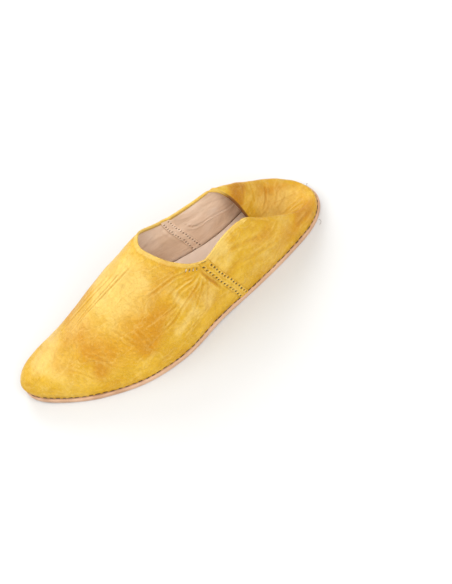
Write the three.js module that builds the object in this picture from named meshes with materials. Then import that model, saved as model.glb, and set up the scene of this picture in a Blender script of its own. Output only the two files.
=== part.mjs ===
// A babouche: a flat leather slipper with a pointed-round toe and a trodden-down heel. Left shoe.
// Millimetres, +Z up, toe towards -Y, heel towards +Y, lateral side towards +X.
import * as THREE from 'three';

// ---- driving sizes ----
const SOLE_LENGTH = 268;
const SOLE_THICKNESS = 3.6;
const SOLE_EDGE_ROUNDING = 0.5;
const INSOLE_THICKNESS = 1.6;
const INSOLE_INSET = 5.2;
const UPPER_INSET = 1.5;
const UPPER_WALL = 1.5;
const PIECE_GAP = 0.3;

// lift of the sole off the floor at the toe and at the waist
const TOE_SPRING = 2.5;
const TOE_SPRING_LENGTH = 40;
const WAIST_LIFT = 1.0;
const WAIST_CENTRE = 12;
const WAIST_REACH = 34;

// fullness of the wall: roundness at the heel, and the swell low down round the toe
const WALL_ROUNDNESS = 1.45;
const TOE_BULGE = 3;
const TOE_BULGE_HEIGHT = 26;
const TOE_BULGE_FROM_TURN = 126;
const TOE_BULGE_FULL_TURN = 166;
const TOE_BULGE_LATERAL_LAG = 0.93;

// station angles between which the heel's upright wall becomes the dome of the vamp
const DOME_FROM_TURN = 57;
const DOME_FULL_TURN = 83;

// the heel leather folded in: rounding of its fold, sag, and bow towards the middle
const FOLD_ROUNDING = 7;
const FLAP_SAG = 7;
const FLAP_SAG_FROM_LENGTH = 4;
const FLAP_SAG_FULL_LENGTH = 40;
const FLAP_TURN_IN = 0.6;
const FLAP_CLEARANCE = 1.0;
const FLAP_FLOOR_SOFTNESS = 1.5;

// easing of the wall's inner face, in passes, where it turns tightest
const FOLD_EASING = 3;
const FOLD_EASING_ROWS = 5;
const FOLD_EASING_FADE_TURN = 7;
const CORNER_EASING = 3;
const CORNER_REACH_TURN = 11;
const CORNER_CORE = 0.35;
const CORNER_BEFORE_FOLD_END_TURN = 3.4;

// ---- resolution ----
const STATIONS_PER_SIDE = 48;
const CROWDING = 0.13;
const WALL_STEPS = 11;
const WALL_STEP_POWER = 1.2;
const FLAP_STEPS = 9;
const FLAP_STEP_POWER = 1.25;
// share of a station's length that the wall rows take: at most, and round the toe
const WALL_SHARE_MOST = 0.76;
const WALL_SHARE_TOE = 0.62;
const WALL_SHARE_TOE_TURN = 109;
const WALL_SAMPLES = 40;
const FLAP_SAMPLES = 30;
const SOFTENING_SAMPLES = 240;
const TANGENT_STEP = 0.01;

const SOLE_TOP = SOLE_THICKNESS;
const UPPER_BASE = SOLE_TOP + PIECE_GAP;
const INSOLE_TOP = UPPER_BASE + INSOLE_THICKNESS;
const FLAP_FLOOR = INSOLE_TOP + FLAP_CLEARANCE + UPPER_WALL;
const HALF_LENGTH = SOLE_LENGTH / 2;

// Sole outline. along: 0 at the heel, 1 at the toe; centre: x of the middle line;
// half: half of the width. At the two ends, half is the radius-like fullness of the curve.
const OUTLINE = [
  { along: 0.00, centre: -2.5, half: 60.0 },
  { along: 0.06, centre: -3.2, half: 24.6 },
  { along: 0.16, centre: -0.4, half: 30.5 },
  { along: 0.30, centre: 5.2, half: 31.3 },
  { along: 0.45, centre: 6.0, half: 35.6 },
  { along: 0.60, centre: 5.5, half: 43.3 },
  { along: 0.72, centre: 3.9, half: 42.3 },
  { along: 0.84, centre: -0.8, half: 34.0 },
  { along: 0.94, centre: -7.2, half: 21.5 },
  { along: 1.00, centre: -10.0, half: 44.0 },
];

// Crest of the upper over the middle line, and the exponent of its rounded section there:
// 2 is an ellipse, less is more like a tent.
const CREST = [
  { y: -134, height: 3.9, exponent: 2.1 },
  { y: -128, height: 17.0, exponent: 2.05 },
  { y: -112, height: 29.0, exponent: 1.85 },
  { y: -95, height: 39.0, exponent: 1.72 },
  { y: -70, height: 52.7, exponent: 1.62 },
  { y: -45, height: 66.9, exponent: 1.62 },
  { y: -14, height: 82.5, exponent: 1.5 },
  { y: 20, height: 86.0, exponent: 1.5 },
  { y: 60, height: 92.0, exponent: 1.5 },
];

// Crown line, where the wall of each station ends: the ridge of the fold round the heel, then the
// collar, then the throat. turn: station angle round the sole in degrees, 0 at the heel, 180 at the
// toe; half: distance from the middle line; medial: how much higher the medial side stands.
const CROWN = [
  { turn: 0, y: 128.8, half: 0, height: 10.6, medial: 0 },
  { turn: 10, y: 127.6, half: 8.0, height: 11.0, medial: 0 },
  { turn: 18, y: 124.6, half: 13.3, height: 12.8, medial: 0 },
  { turn: 30, y: 113.5, half: 19.2, height: 20.0, medial: 1.5 },
  { turn: 44, y: 97.0, half: 21.4, height: 32.2, medial: 3.5 },
  { turn: 55, y: 78.0, half: 20.8, height: 47.8, medial: 4.2 },
  { turn: 64.5, y: 58.5, half: 19.8, height: 61.8, medial: 1.8 },
  { turn: 69, y: 44.0, half: 21.4, height: 62.4, medial: 0.8 },
  { turn: 75, y: 24.5, half: 25.6, height: 58.8, medial: 1.5 },
  { turn: 82, y: 17.0, half: 25.4, height: 59.3, medial: 3.0 },
  { turn: 90, y: 9.6, half: 22.9, height: 61.7, medial: 5.5 },
  { turn: 100, y: 0.5, half: 18.3, height: 68.6, medial: 7.0 },
  { turn: 115, y: -5.8, half: 13.2, height: 75.2, medial: 6.5 },
  { turn: 135, y: -9.8, half: 8.0, height: 79.7, medial: 4.0 },
  { turn: 155, y: -11.8, half: 4.0, height: 82.0, medial: 1.5 },
  { turn: 180, y: -12.5, half: 0, height: 82.6, medial: 0 },
];

// Free edge of the heel leather, folded in and down over the insole, in the same columns.
const FLAP_EDGE = [
  { turn: 0, y: 79.0, half: 0, height: 8.6, medial: 0 },
  { turn: 12, y: 78.8, half: 2.2, height: 9.2, medial: 0 },
  { turn: 26, y: 78.0, half: 4.8, height: 12.5, medial: 0 },
  { turn: 40, y: 76.5, half: 7.8, height: 23.5, medial: 0 },
  { turn: 52, y: 73.0, half: 12.0, height: 38.5, medial: 2.5 },
  { turn: 58, y: 69.3, half: 14.2, height: 48.5, medial: 2.5 },
  { turn: 61.5, y: 64.5, half: 16.6, height: 57.3, medial: 2.0 },
  { turn: 64.5, y: 58.5, half: 19.8, height: 61.8, medial: 1.8 },
];
const FOLD_END_TURN = 64.5;

// ---- curves through the tables ----
// Cubic through one column of a table; flatEnds makes it level at both ends.
function through(rows, knots, column, at, flatEnds) {
  const last = rows.length - 1;
  let k = 0;
  while (k < last - 1 && at > knots[k + 1]) {
    k += 1;
  }
  const slope = (i) => {
    if (i === 0 || i === last) {
      const a = i === 0 ? 0 : last - 1;
      return flatEnds ? 0 : (rows[a + 1][column] - rows[a][column]) / (knots[a + 1] - knots[a]);
    }
    const before = (rows[i][column] - rows[i - 1][column]) / (knots[i] - knots[i - 1]);
    const after = (rows[i + 1][column] - rows[i][column]) / (knots[i + 1] - knots[i]);
    const weight = (knots[i + 1] - knots[i]) / (knots[i + 1] - knots[i - 1]);
    return before * weight + after * (1 - weight);
  };
  const span = knots[k + 1] - knots[k];
  const s = THREE.MathUtils.clamp((at - knots[k]) / span, 0, 1);
  const s2 = s * s;
  const s3 = s2 * s;
  const from = (2 * s3 - 3 * s2 + 1) * rows[k][column] + (s3 - 2 * s2 + s) * span * slope(k);
  const to = (3 * s2 - 2 * s3) * rows[k + 1][column] + (s3 - s2) * span * slope(k + 1);
  return from + to;
}

const outlineKnots = OUTLINE.map((row) => Math.acos(1 - 2 * row.along));
const outlineRows = OUTLINE.map((row, i) => {
  const end = i === 0 || i === OUTLINE.length - 1;
  const fullness = end ? row.half : row.half / Math.sin(outlineKnots[i]);
  return { centre: row.centre, fullness: fullness };
});
const crestKnots = CREST.map((row) => -Math.acos(THREE.MathUtils.clamp(row.y / HALF_LENGTH, -1, 1)));
const crownKnots = CROWN.map((row) => THREE.MathUtils.degToRad(row.turn));
const flapKnots = FLAP_EDGE.map((row) => THREE.MathUtils.degToRad(row.turn));
const FOLD_END = THREE.MathUtils.degToRad(FOLD_END_TURN);

// Smooth change from 0 to 1 between two station angles given in degrees.
function easeTurn(turn, fromDegrees, toDegrees) {
  const radians = THREE.MathUtils.degToRad;
  return THREE.MathUtils.smoothstep(turn, radians(fromDegrees), radians(toDegrees));
}

const turnAt = (y) => Math.acos(THREE.MathUtils.clamp(y / HALF_LENGTH, -1, 1));
const centreAt = (y) => through(outlineRows, outlineKnots, 'centre', turnAt(y), false);
const halfAt = (y) => {
  const turn = turnAt(y);
  return through(outlineRows, outlineKnots, 'fullness', turn, false) * Math.sin(turn);
};

// Lift of the sole off the floor: a shallow arch at the waist and the spring of the toe.
function lift(y) {
  const toe = Math.max(0, TOE_SPRING_LENGTH - HALF_LENGTH - y) / TOE_SPRING_LENGTH;
  const waist = Math.max(0, 1 - Math.abs(y - WAIST_CENTRE) / WAIST_REACH);
  return TOE_SPRING * toe * toe + WAIST_LIFT * waist * waist * (3 - 2 * waist);
}

// Point of the sole outline at one turn, moved in by inset. side: 1 lateral, -1 medial.
function outlinePoint(turn, side, inset) {
  const at = (angle) => {
    const fullness = through(outlineRows, outlineKnots, 'fullness', Math.abs(angle), false);
    const centre = through(outlineRows, outlineKnots, 'centre', Math.abs(angle), false);
    return new THREE.Vector2(centre + side * fullness * Math.sin(angle), HALF_LENGTH * Math.cos(angle));
  };
  const ahead = at(Math.min(turn + TANGENT_STEP, Math.PI));
  const tangent = ahead.sub(at(Math.max(turn - TANGENT_STEP, 0))).normalize();
  if (turn < TANGENT_STEP || turn > Math.PI - TANGENT_STEP) {
    tangent.set(turn < TANGENT_STEP ? side : -side, 0);
  }
  const inward = new THREE.Vector2(tangent.y, -tangent.x).multiplyScalar(side);
  return at(turn).addScaledVector(inward, inset);
}

// Height of the vamp and quarters as one rounded tent over the sole.
function domeHeight(x, y) {
  const base = UPPER_BASE + lift(y);
  const crest = through(CREST, crestKnots, 'height', -turnAt(y), false) + lift(y);
  const exponent = through(CREST, crestKnots, 'exponent', -turnAt(y), false);
  const across = Math.min(1, Math.abs(x - centreAt(y)) / Math.max(halfAt(y) - UPPER_INSET, 0.01));
  return base + (crest - base) * Math.pow(1 - Math.pow(across, exponent), 1 / exponent);
}

// Point of the crown or of the flap's edge at one turn.
function pointFromRow(rows, knots, turn, side) {
  const y = through(rows, knots, 'y', turn, true);
  const half = through(rows, knots, 'half', turn, false);
  const rise = side < 0 ? through(rows, knots, 'medial', turn, true) : 0;
  const height = through(rows, knots, 'height', turn, true) + rise;
  return new THREE.Vector3(centreAt(y) + side * half, y, height);
}

// One station of the upper: up the wall from the sole, over the fold at the heel, to the free edge.
function stationCurve(turn, side) {
  const foot = outlinePoint(turn, side, UPPER_INSET);
  const crown = pointFromRow(CROWN, crownKnots, turn, side);
  const base = UPPER_BASE + lift(foot.y);
  const onDome = easeTurn(turn, DOME_FROM_TURN, DOME_FULL_TURN);
  const miss = crown.z - domeHeight(crown.x, crown.y);
  const outward = foot.clone().sub(outlinePoint(turn, side, UPPER_INSET + 1));
  const lag = side > 0 ? TOE_BULGE_LATERAL_LAG : 1;
  const bulge = TOE_BULGE * easeTurn(turn * lag, TOE_BULGE_FROM_TURN, TOE_BULGE_FULL_TURN);
  const points = [];
  for (let i = 0; i <= WALL_SAMPLES; i += 1) {
    const s = Math.pow(i / WALL_SAMPLES, 2);
    const x = THREE.MathUtils.lerp(foot.x, crown.x, s);
    const y = THREE.MathUtils.lerp(foot.y, crown.y, s);
    const rounded = Math.pow(1 - Math.pow(1 - s, WALL_ROUNDNESS), 1 / WALL_ROUNDNESS);
    const wall = base + (crown.z - base) * rounded;
    const dome = domeHeight(x, y) + miss * s;
    const z = i === 0 ? base : THREE.MathUtils.lerp(wall, dome, onDome);
    const swell = bulge * Math.sin(Math.PI * Math.min(1, (z - base) / TOE_BULGE_HEIGHT));
    points.push(new THREE.Vector3(x + outward.x * swell, y + outward.y * swell, z));
  }
  if (turn >= FOLD_END) {
    const towardsToe = easeTurn(turn, FOLD_END_TURN, WALL_SHARE_TOE_TURN);
    return { points: points, wallShare: THREE.MathUtils.lerp(WALL_SHARE_MOST, WALL_SHARE_TOE, towardsToe) };
  }
  const wallLength = lengthOf(points);
  const edge = pointFromRow(FLAP_EDGE, flapKnots, turn, side);
  const length = edge.distanceTo(crown);
  const sag = FLAP_SAG * THREE.MathUtils.smoothstep(length, FLAP_SAG_FROM_LENGTH, FLAP_SAG_FULL_LENGTH);
  for (let i = 1; i <= FLAP_SAMPLES; i += 1) {
    const s = i / FLAP_SAMPLES;
    const x = THREE.MathUtils.lerp(crown.x, edge.x, s + FLAP_TURN_IN * s * (1 - s));
    const y = THREE.MathUtils.lerp(crown.y, edge.y, s - FLAP_TURN_IN * s * (1 - s));
    const z = THREE.MathUtils.lerp(crown.z, edge.z, s) - sag * 4 * s * (1 - s);
    const over = z - FLAP_FLOOR;
    points.push(new THREE.Vector3(x, y, FLAP_FLOOR + (over + Math.hypot(over, FLAP_FLOOR_SOFTNESS)) / 2));
  }
  const wallShare = Math.min(wallLength / lengthOf(points), WALL_SHARE_MOST);
  return { points: softened(points, FOLD_ROUNDING), wallShare: wallShare };
}

// Length of a polyline.
function lengthOf(points) {
  let total = 0;
  for (let i = 1; i < points.length; i += 1) {
    total += points[i].distanceTo(points[i - 1]);
  }
  return total;
}

// Points of a polyline at the given fractions of its length.
function pointsAt(points, fractions) {
  const reach = [0];
  for (let i = 1; i < points.length; i += 1) {
    reach.push(reach[i - 1] + points[i].distanceTo(points[i - 1]));
  }
  const total = reach[reach.length - 1];
  const out = [];
  let k = 0;
  for (const fraction of fractions) {
    const at = total * fraction;
    while (k < points.length - 2 && reach[k + 1] < at) {
      k += 1;
    }
    const s = (at - reach[k]) / Math.max(reach[k + 1] - reach[k], 1e-9);
    out.push(new THREE.Vector3().lerpVectors(points[k], points[k + 1], THREE.MathUtils.clamp(s, 0, 1)));
  }
  return out;
}

// Rounds the corners of a polyline by averaging over a length each way; its ends stay where they are.
function softened(points, length) {
  const count = SOFTENING_SAMPLES;
  const total = lengthOf(points);
  const fine = pointsAt(points, Array.from({ length: count + 1 }, (_, i) => i / count));
  const out = [];
  for (let i = 0; i <= count; i += 1) {
    const window = Math.min(Math.round((length / total) * count), i, count - i);
    const sum = new THREE.Vector3();
    for (let j = i - window; j <= i + window; j += 1) {
      sum.add(fine[j]);
    }
    out.push(sum.multiplyScalar(1 / (2 * window + 1)));
  }
  return out;
}

// ---- meshes ----
// Stations round the sole: lateral side from heel to toe, then medial side back to the heel.
// They stand closer together near the corner of the collar, where the fold begins.
function stationTurn(i) {
  const u = i / STATIONS_PER_SIDE;
  const corner = FOLD_END / Math.PI;
  const shift = Math.sin(2 * Math.PI * (u - corner)) + Math.sin(2 * Math.PI * corner);
  return Math.PI * u - CROWDING * shift;
}

const ring = [];
for (let i = 0; i <= STATIONS_PER_SIDE; i += 1) {
  ring.push({ turn: stationTurn(i), side: 1 });
}
for (let i = STATIONS_PER_SIDE - 1; i > 0; i -= 1) {
  ring.push({ turn: stationTurn(i), side: -1 });
}
const RING = ring.length;

// Indexed geometry from points and corner numbers.
function geometryOf(vertices, triangles) {
  const geometry = new THREE.BufferGeometry();
  const numbers = vertices.flatMap((v) => [v.x, v.y, v.z]);
  geometry.setAttribute('position', new THREE.Float32BufferAttribute(numbers, 3));
  geometry.setIndex(triangles);
  geometry.computeVertexNormals();
  return geometry;
}

// Closed plate from rings of points, lowest first, capped at both ends by strips across.
function plateGeometry(rings) {
  const vertices = rings.flat();
  const triangles = [];
  for (let level = 0; level < rings.length - 1; level += 1) {
    for (let i = 0; i < RING; i += 1) {
      const a = level * RING + i;
      const b = level * RING + ((i + 1) % RING);
      triangles.push(a, b + RING, b, a, a + RING, b + RING);
    }
  }
  const top = (rings.length - 1) * RING;
  for (let i = 0; i < STATIONS_PER_SIDE; i += 1) {
    const a = i;
    const b = i + 1;
    const c = (RING - i - 1) % RING;
    const d = (RING - i) % RING;
    if (i > 0) {
      triangles.push(a, c, d);
      triangles.push(top + a, top + d, top + c);
    }
    if (i < STATIONS_PER_SIDE - 1) {
      triangles.push(a, b, c);
      triangles.push(top + a, top + c, top + b);
    }
  }
  return geometryOf(vertices, triangles);
}

// The sole outline moved in by inset, at a height over the sole's own lift.
function plateRing(inset, height) {
  return ring.map((station) => {
    const p = outlinePoint(station.turn, station.side, inset);
    return new THREE.Vector3(p.x, p.y, height + lift(p.y));
  });
}

// The upper: its outer sheet of rows and stations, an inner sheet one wall in, and their two rims.
function upperGeometry() {
  const stations = ring.map((station) => {
    const curve = stationCurve(station.turn, station.side);
    const share = curve.wallShare;
    const fractions = [];
    for (let j = 0; j <= WALL_STEPS; j += 1) {
      fractions.push(share * (1 - Math.pow(1 - j / WALL_STEPS, WALL_STEP_POWER)));
    }
    for (let j = 1; j <= FLAP_STEPS; j += 1) {
      fractions.push(share + (1 - share) * Math.pow(j / FLAP_STEPS, FLAP_STEP_POWER));
    }
    const after = pointsAt(curve.points, fractions.map((f) => Math.min(1, f + TANGENT_STEP)));
    const before = pointsAt(curve.points, fractions.map((f) => Math.max(0, f - TANGENT_STEP)));
    return { points: pointsAt(curve.points, fractions), upward: after.map((p, j) => p.sub(before[j])) };
  });
  const rows = WALL_STEPS + FLAP_STEPS + 1;
  const outer = [];
  for (let j = 0; j < rows; j += 1) {
    for (let i = 0; i < RING; i += 1) {
      outer.push(stations[i].points[j]);
    }
  }
  const sheet = [];
  // each patch is cut along its shorter diagonal
  for (let j = 0; j < rows - 1; j += 1) {
    for (let i = 0; i < RING; i += 1) {
      const a = j * RING + i;
      const b = j * RING + ((i + 1) % RING);
      const c = a + RING;
      const d = b + RING;
      if (outer[a].distanceTo(outer[d]) <= outer[b].distanceTo(outer[c])) {
        sheet.push(a, d, b, a, c, d);
      } else {
        sheet.push(a, c, b, b, c, d);
      }
    }
  }
  const inner = outer.map((p, index) => {
    const i = index % RING;
    const j = (index - i) / RING;
    const along = outer[j * RING + ((i + 1) % RING)].clone().sub(outer[j * RING + ((i + RING - 1) % RING)]);
    const n = new THREE.Vector3().crossVectors(stations[i].upward[j], along).normalize();
    if (j === 0) {
      // the rim that stands on the sole keeps its height
      n.setZ(0).normalize();
    }
    return p.clone().addScaledVector(n, -UPPER_WALL);
  });
  relaxFold(inner, rows);
  relaxCorner(inner, rows);
  const count = outer.length;
  const triangles = [...sheet];
  for (let k = 0; k < sheet.length; k += 3) {
    triangles.push(sheet[k] + count, sheet[k + 2] + count, sheet[k + 1] + count);
  }
  const rim = (rows - 1) * RING;
  for (let i = 0; i < RING; i += 1) {
    const n = (i + 1) % RING;
    triangles.push(i, n, n + count, i, n + count, i + count);
    triangles.push(rim + i, rim + n + count, rim + n, rim + i, rim + i + count, rim + n + count);
  }
  return geometryOf([...outer, ...inner], triangles);
}

function cornerWeight(turn) {
  const corner = FOLD_END - THREE.MathUtils.degToRad(CORNER_BEFORE_FOLD_END_TURN);
  const away = Math.abs(turn - corner) / THREE.MathUtils.degToRad(CORNER_REACH_TURN);
  return 1 - THREE.MathUtils.smoothstep(away, CORNER_CORE, 1);
}

// Evens out the inner face round the ring where the collar turns into the fold.
function relaxCorner(inner, rows) {
  for (let pass = 0; pass < CORNER_EASING; pass += 1) {
    const old = inner.map((p) => p.clone());
    for (let i = 0; i < RING; i += 1) {
      const weight = 0.5 * cornerWeight(ring[i].turn);
      for (let j = WALL_STEPS - 2; j < rows && weight > 0; j += 1) {
        const next = old[j * RING + ((i + 1) % RING)];
        const last = old[j * RING + ((i + RING - 1) % RING)];
        inner[j * RING + i].lerp(next.clone().add(last).multiplyScalar(0.5), weight);
      }
    }
  }
}

// Eases the inside of the fold, where the wall's inner face turns tightest.
function relaxFold(inner, rows) {
  for (let pass = 0; pass < FOLD_EASING; pass += 1) {
    const old = inner.map((p) => p.clone());
    for (let i = 0; i < RING; i += 1) {
      const fade = easeTurn(ring[i].turn, FOLD_END_TURN, FOLD_END_TURN + FOLD_EASING_FADE_TURN);
      const weight = 0.5 * (1 - fade);
      for (let j = 2; j < rows - 1; j += 1) {
        const near = Math.max(0, 1 - Math.abs(j - WALL_STEPS) / FOLD_EASING_ROWS);
        const mean = old[(j - 1) * RING + i].clone().add(old[(j + 1) * RING + i]).multiplyScalar(0.5);
        inner[j * RING + i].lerp(mean, weight * near);
      }
    }
  }
}

function piece(name, geometry, colour, roughness) {
  const material = new THREE.MeshStandardMaterial({ color: colour, roughness: roughness, metalness: 0 });
  const mesh = new THREE.Mesh(geometry, material);
  mesh.name = name;
  return mesh;
}

const slipper = new THREE.Group();

const outsoleRings = [
  plateRing(SOLE_EDGE_ROUNDING, 0),
  plateRing(0, SOLE_EDGE_ROUNDING),
  plateRing(0, SOLE_TOP - SOLE_EDGE_ROUNDING),
  plateRing(SOLE_EDGE_ROUNDING, SOLE_TOP),
];
slipper.add(piece('outsole', plateGeometry(outsoleRings), '#c4967a', 0.6));

const insoleRings = [plateRing(INSOLE_INSET, UPPER_BASE), plateRing(INSOLE_INSET, INSOLE_TOP)];
slipper.add(piece('insole', plateGeometry(insoleRings), '#e6d2c6', 0.7));

slipper.add(piece('upper', upperGeometry(), '#dfa32a', 0.45));

// Origin at the middle of the bounding box, on the floor.
slipper.updateMatrixWorld(true);
const box = new THREE.Box3().setFromObject(slipper, true);
const middle = box.getCenter(new THREE.Vector3());
slipper.position.set(-middle.x, -middle.y, -box.min.z);

export default slipper;
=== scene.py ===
"""A babouche slipper in golden yellow leather, left shoe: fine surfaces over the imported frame."""

import math

import bmesh
import bpy
import numpy as np
from mathutils import Matrix, Vector


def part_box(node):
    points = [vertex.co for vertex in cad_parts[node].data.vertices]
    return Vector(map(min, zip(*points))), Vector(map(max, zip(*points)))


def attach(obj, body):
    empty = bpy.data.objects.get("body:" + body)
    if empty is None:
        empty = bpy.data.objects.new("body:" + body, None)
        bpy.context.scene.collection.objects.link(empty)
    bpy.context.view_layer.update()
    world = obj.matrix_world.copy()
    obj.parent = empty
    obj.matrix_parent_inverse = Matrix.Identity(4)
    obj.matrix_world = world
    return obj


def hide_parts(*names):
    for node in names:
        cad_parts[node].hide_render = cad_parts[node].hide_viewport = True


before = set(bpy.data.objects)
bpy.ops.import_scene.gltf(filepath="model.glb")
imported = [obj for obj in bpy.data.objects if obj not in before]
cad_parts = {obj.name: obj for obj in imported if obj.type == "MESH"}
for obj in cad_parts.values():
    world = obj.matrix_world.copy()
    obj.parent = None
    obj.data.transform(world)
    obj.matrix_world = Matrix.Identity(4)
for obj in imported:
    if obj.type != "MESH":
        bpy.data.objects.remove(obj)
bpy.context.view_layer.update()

# ---- sizes, in millimetres
MM = 0.001
SOLE_LENGTH = 268.0
SOLE_TOP = 3.6
UPPER_BASE = 3.9
INSOLE_TOP = 5.5
INSOLE_INSET = 4.6
UPPER_INSET = 1.5
UPPER_WALL = 1.5
FLAP_CLEARANCE = 1.0
FLAP_FLOOR = INSOLE_TOP + FLAP_CLEARANCE + UPPER_WALL
FLAP_LANDING = 1.5
TOE_SPRING = 2.5
TOE_SPRING_LENGTH = 40.0
WAIST_LIFT = 1.0
WAIST_CENTRE = 12.0
WAIST_REACH = 34.0
TOE_BULGE = 3.0
TOE_BULGE_HEIGHT = 26.0
TOE_BULGE_TURNS = (2.2, 2.9)
TOE_BULGE_LATERAL = 0.93
DOME_TURNS = (1.0, 1.45)
QUARTER_POWER = 1.45
FOLD_ROUNDING = 7.0
FLAP_SAG = 7.0
FLAP_SAG_LENGTHS = (4, 40)
FLAP_TURN_IN = 0.6
FOLD_END = math.radians(64.5)
SEAM_FOOT_TURN = 74.0
SEAM_TOP_TURN = 79.0
HALF_LENGTH = SOLE_LENGTH / 2

STATIONS = 500
ROWS = 150
SOLE_STATIONS = 360
WALL_POINTS = 61
FLAP_POINTS = 41
STATION_CROWDING = 0.13

# along: 0 heel, 1 toe; centre: x of the middle line; half: half width (fullness at the ends)
OUTLINE = dict(
    along=(0.00, 0.06, 0.16, 0.30, 0.45, 0.60, 0.72, 0.84, 0.94, 1.00),
    centre=(-2.5, -3.2, -0.4, 5.2, 6.0, 5.5, 3.9, -0.8, -7.2, -10.0),
    half=(60.0, 24.6, 30.5, 31.3, 35.6, 43.3, 42.3, 34.0, 21.5, 44.0),
)
# crest of the upper over the middle line, and how round its section is there
CREST = dict(
    y=(-134, -128, -112, -95, -70, -45, -14, 20, 60),
    height=(3.9, 17.0, 29.0, 39.0, 52.7, 66.9, 82.5, 86.0, 92.0),
    exponent=(2.1, 2.05, 1.85, 1.72, 1.62, 1.62, 1.5, 1.5, 1.5),
)
# crown line by station turn in degrees: the fold's ridge, then the collar, then the throat
CROWN = dict(
    turn=(0, 10, 18, 30, 44, 55, 64.5, 69, 75, 82, 90, 100, 115, 135, 155, 180),
    y=(128.8, 127.6, 124.6, 113.5, 97, 78, 58.5, 44, 24.5, 17, 9.6, 0.5, -5.8, -9.8, -11.8, -12.5),
    half=(0, 8, 13.3, 19.2, 21.4, 20.8, 19.8, 21.4, 25.6, 25.4, 22.9, 18.3, 13.2, 8, 4, 0),
    height=(10.6, 11, 12.8, 20, 32.2, 47.8, 61.8, 62.4, 58.8, 59.3, 61.7, 68.6, 75.2, 79.7, 82, 82.6),
    medial=(0, 0, 0, 1.5, 3.5, 4.2, 1.8, 0.8, 1.5, 3, 5.5, 7, 6.5, 4, 1.5, 0),
)
# free edge of the heel leather, folded in on to the insole
FLAP_EDGE = dict(
    turn=(0, 12, 26, 40, 52, 58, 61.5, 64.5),
    y=(79, 78.8, 78, 76.5, 73, 69.3, 64.5, 58.5),
    half=(0, 2.2, 4.8, 7.8, 12, 14.2, 16.6, 19.8),
    height=(8.6, 9.2, 12.5, 23.5, 38.5, 48.5, 57.3, 61.8),
    medial=(0, 0, 0, 0, 2.5, 2.5, 2, 1.8),
)


# ---- curves through the tables
def through(knots, values, at, flat_ends=False):
    """Cubic through one column of a table, as in the part's own source."""
    knots, values = np.asarray(knots, float), np.asarray(values, float)
    steps, rises = np.diff(knots), np.diff(values)
    chords = rises / steps
    slopes = np.empty(len(knots))
    slopes[0], slopes[-1] = (0, 0) if flat_ends else (chords[0], chords[-1])
    weight = steps[1:] / (steps[1:] + steps[:-1])
    slopes[1:-1] = chords[:-1] * weight + chords[1:] * (1 - weight)
    at = np.asarray(at, float)
    k = np.clip(np.searchsorted(knots, at) - 1, 0, len(knots) - 2)
    s = np.clip((at - knots[k]) / steps[k], 0, 1)
    s2, s3 = s * s, s * s * s
    low = (2 * s3 - 3 * s2 + 1) * values[k] + (s3 - 2 * s2 + s) * steps[k] * slopes[k]
    return low + (3 * s2 - 2 * s3) * values[k + 1] + (s3 - s2) * steps[k] * slopes[k + 1]


def smoothstep(x, low, high):
    s = np.clip((np.asarray(x, float) - low) / (high - low), 0, 1)
    return s * s * (3 - 2 * s)


def unit(vectors):
    return vectors / np.maximum(np.linalg.norm(vectors, axis=-1, keepdims=True), 1e-9)


OUTLINE_TURNS = np.arccos(1 - 2 * np.array(OUTLINE["along"]))
FULLNESS = np.array(OUTLINE["half"])
FULLNESS[1:-1] /= np.sin(OUTLINE_TURNS[1:-1])
CROWN_TURNS = np.radians(CROWN["turn"])
FLAP_TURNS = np.radians(FLAP_EDGE["turn"])
CREST_KNOTS = -np.arccos(np.array(CREST["y"]) / HALF_LENGTH)


def turn_at(y):
    return np.arccos(np.clip(np.asarray(y, float) / HALF_LENGTH, -1, 1))


def centre_at(y):
    return through(OUTLINE_TURNS, OUTLINE["centre"], turn_at(y))


def half_at(y):
    turn = turn_at(y)
    return through(OUTLINE_TURNS, FULLNESS, turn) * np.sin(turn)


def lift(y):
    """Arch at the waist and spring of the toe."""
    toe = np.maximum(0, TOE_SPRING_LENGTH - HALF_LENGTH - y) / TOE_SPRING_LENGTH
    waist = np.maximum(0, 1 - np.abs(y - WAIST_CENTRE) / WAIST_REACH)
    return TOE_SPRING * toe**2 + WAIST_LIFT * waist * waist * (3 - 2 * waist)


def outline_points(turn, side, inset):
    """Points of the sole outline at these turns, moved in by inset."""

    def at(angle):
        full = through(OUTLINE_TURNS, FULLNESS, np.abs(angle))
        centre = through(OUTLINE_TURNS, OUTLINE["centre"], np.abs(angle))
        return np.stack([centre + side * full * np.sin(angle), HALF_LENGTH * np.cos(angle)], -1)

    step = 0.01
    tangent = at(np.minimum(turn + step, math.pi)) - at(np.maximum(turn - step, 0))
    ends = (turn < step) | (turn > math.pi - step)
    flat = np.stack([np.where(turn < step, side, -side), np.zeros_like(turn)], -1)
    tangent = unit(np.where(ends[:, None], flat, tangent))
    inward = np.stack([tangent[:, 1], -tangent[:, 0]], -1) * np.asarray(side, float)[:, None]
    return at(turn) + inward * inset


def dome_height(x, y):
    base = UPPER_BASE + lift(y)
    crest = through(CREST_KNOTS, CREST["height"], -turn_at(y)) + lift(y)
    power = through(CREST_KNOTS, CREST["exponent"], -turn_at(y))
    across = np.minimum(1, np.abs(x - centre_at(y)) / np.maximum(half_at(y) - UPPER_INSET, 0.01))
    return base + (crest - base) * (1 - across**power) ** (1 / power)


def row_points(table, knots, turn, side):
    y = through(knots, table["y"], turn, True)
    half = through(knots, table["half"], turn)
    rise = np.where(side < 0, through(knots, table["medial"], turn, True), 0)
    height = through(knots, table["height"], turn, True) + rise
    return np.stack([centre_at(y) + side * half, y, height], -1)


def along_lengths(points):
    return np.concatenate([[0], np.cumsum(np.linalg.norm(np.diff(points, axis=0), axis=1))])


def place_along(points, reach, at):
    """Places on a polyline, where reach is the distance along it of each of its points."""
    return np.stack([np.interp(at, reach, points[:, k]) for k in range(3)], -1)


def points_at(points, fractions):
    reach = along_lengths(points)
    return place_along(points, reach, np.asarray(fractions) * reach[-1])


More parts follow.
